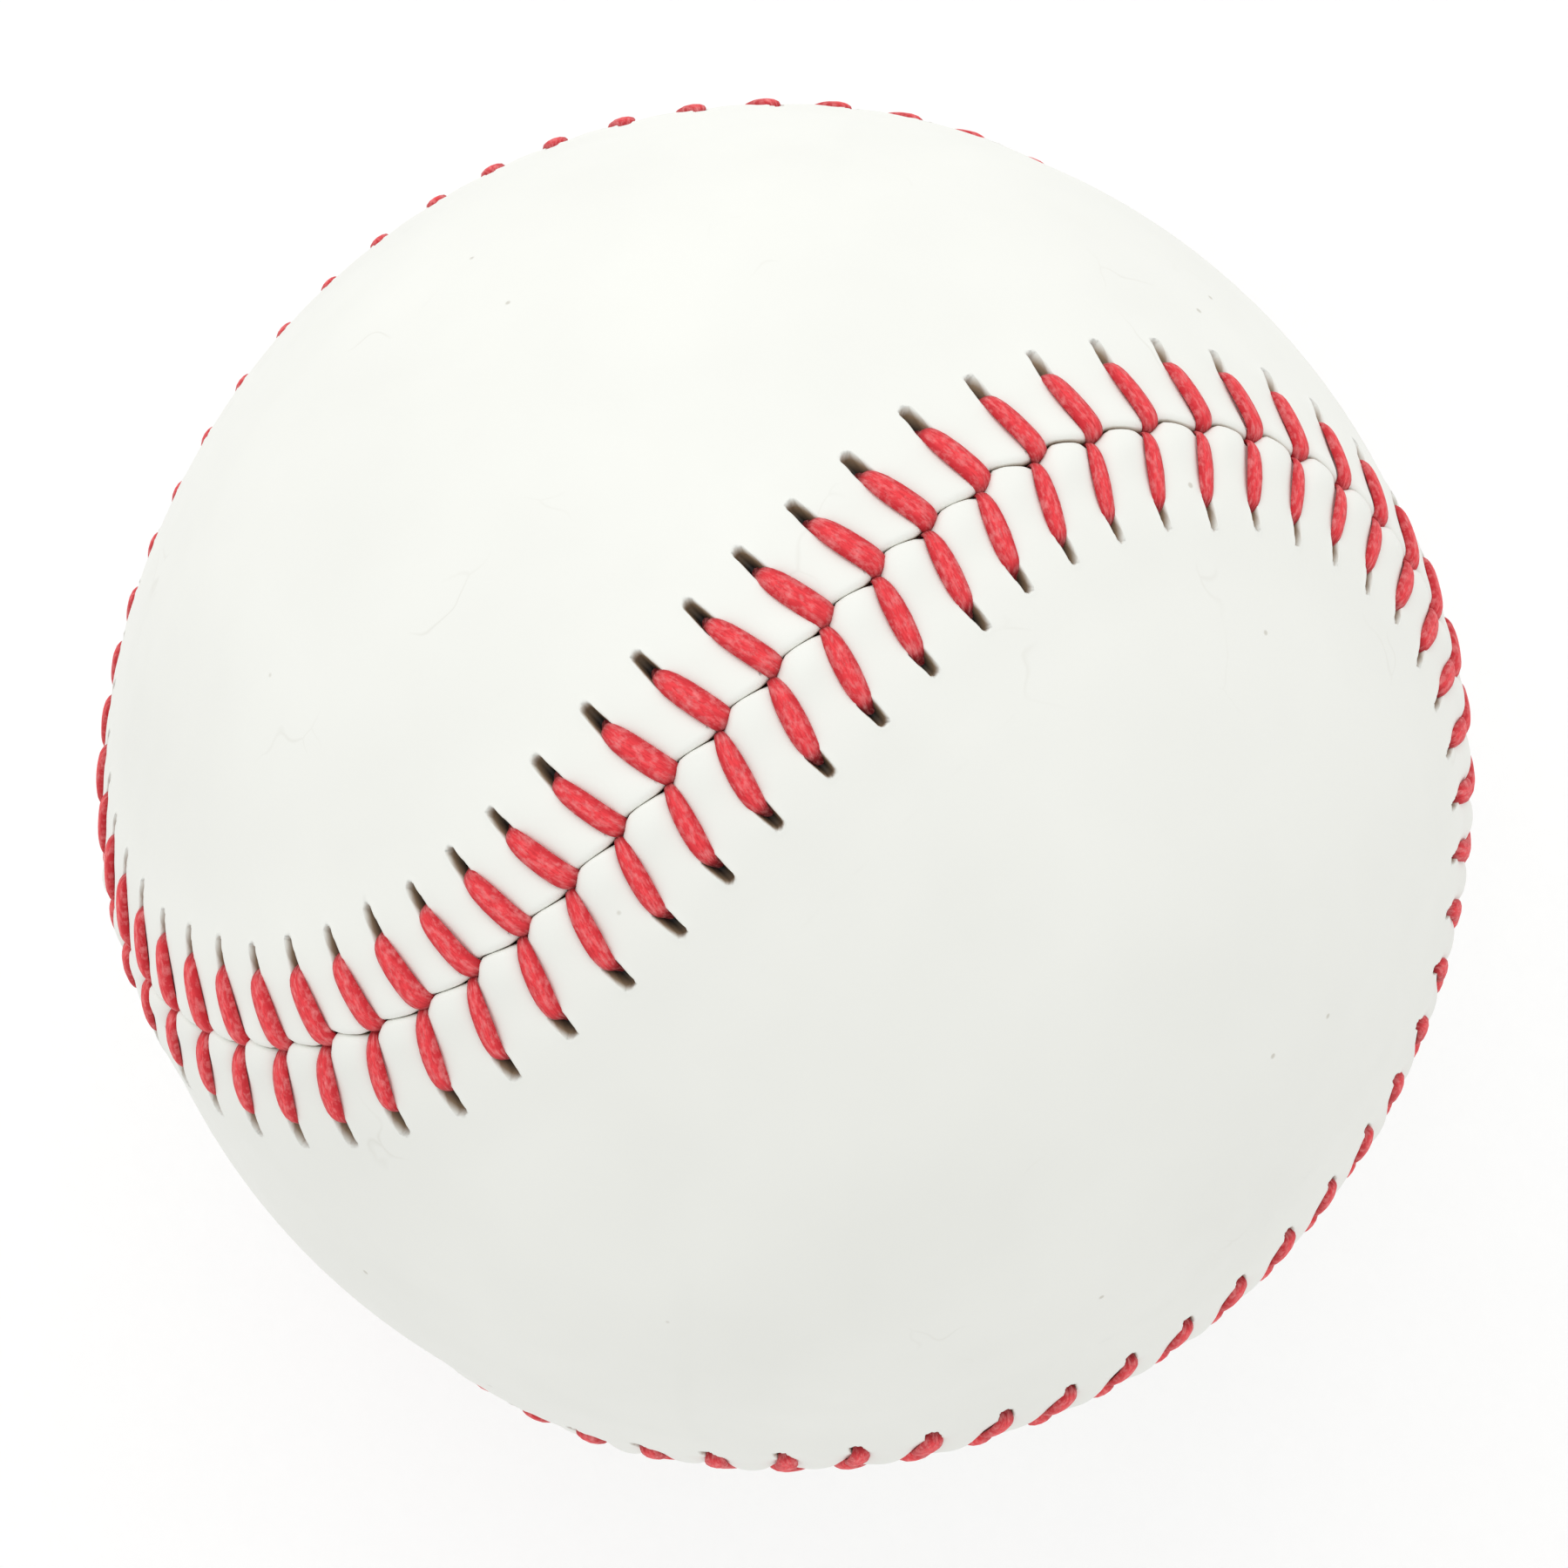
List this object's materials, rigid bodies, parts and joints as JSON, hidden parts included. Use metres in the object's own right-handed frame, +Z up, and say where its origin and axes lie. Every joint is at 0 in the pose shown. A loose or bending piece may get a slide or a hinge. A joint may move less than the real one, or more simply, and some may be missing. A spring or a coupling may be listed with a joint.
{
  "type": "baseball",
  "caption": "Hardball with a cushioned cork pill, yarn windings and a white two-panel leather cover drawn together by a raised, red, V-stitched seam.",
  "frame": {"origin": "centre of the ball", "axes": "Y through the waists of the two cover panels; X and Z through places where the seam crosses, Z up"},
  "size_m": [0.076, 0.0738, 0.076],
  "materials": {
    "white_leather": "smooth satin",
    "red_waxed_thread": "waxed, slightly fibrous",
    "rubber_cement": "dry film",
    "cotton_yarn": "wound yarn",
    "white_wool_yarn": "wound yarn",
    "grey_wool_yarn": "wound yarn",
    "red_rubber": "matt moulded",
    "black_rubber": "matt moulded",
    "composition_cork": "granular, matt"
  },
  "bodies": {
    "root": {"cork_core": "composition_cork", "black_rubber_upper": "black_rubber", "black_rubber_lower": "black_rubber", "rubber_washer": "red_rubber", "red_rubber_jacket": "red_rubber", "first_wind": "grey_wool_yarn", "second_wind": "white_wool_yarn", "third_wind": "grey_wool_yarn", "finishing_wind": "cotton_yarn", "cement_coat": "rubber_cement", "cover_panel_a": "white_leather", "cover_panel_b": "white_leather", "thread_strand_a": "red_waxed_thread", "thread_strand_b": "red_waxed_thread"}
  },
  "joints": []
}
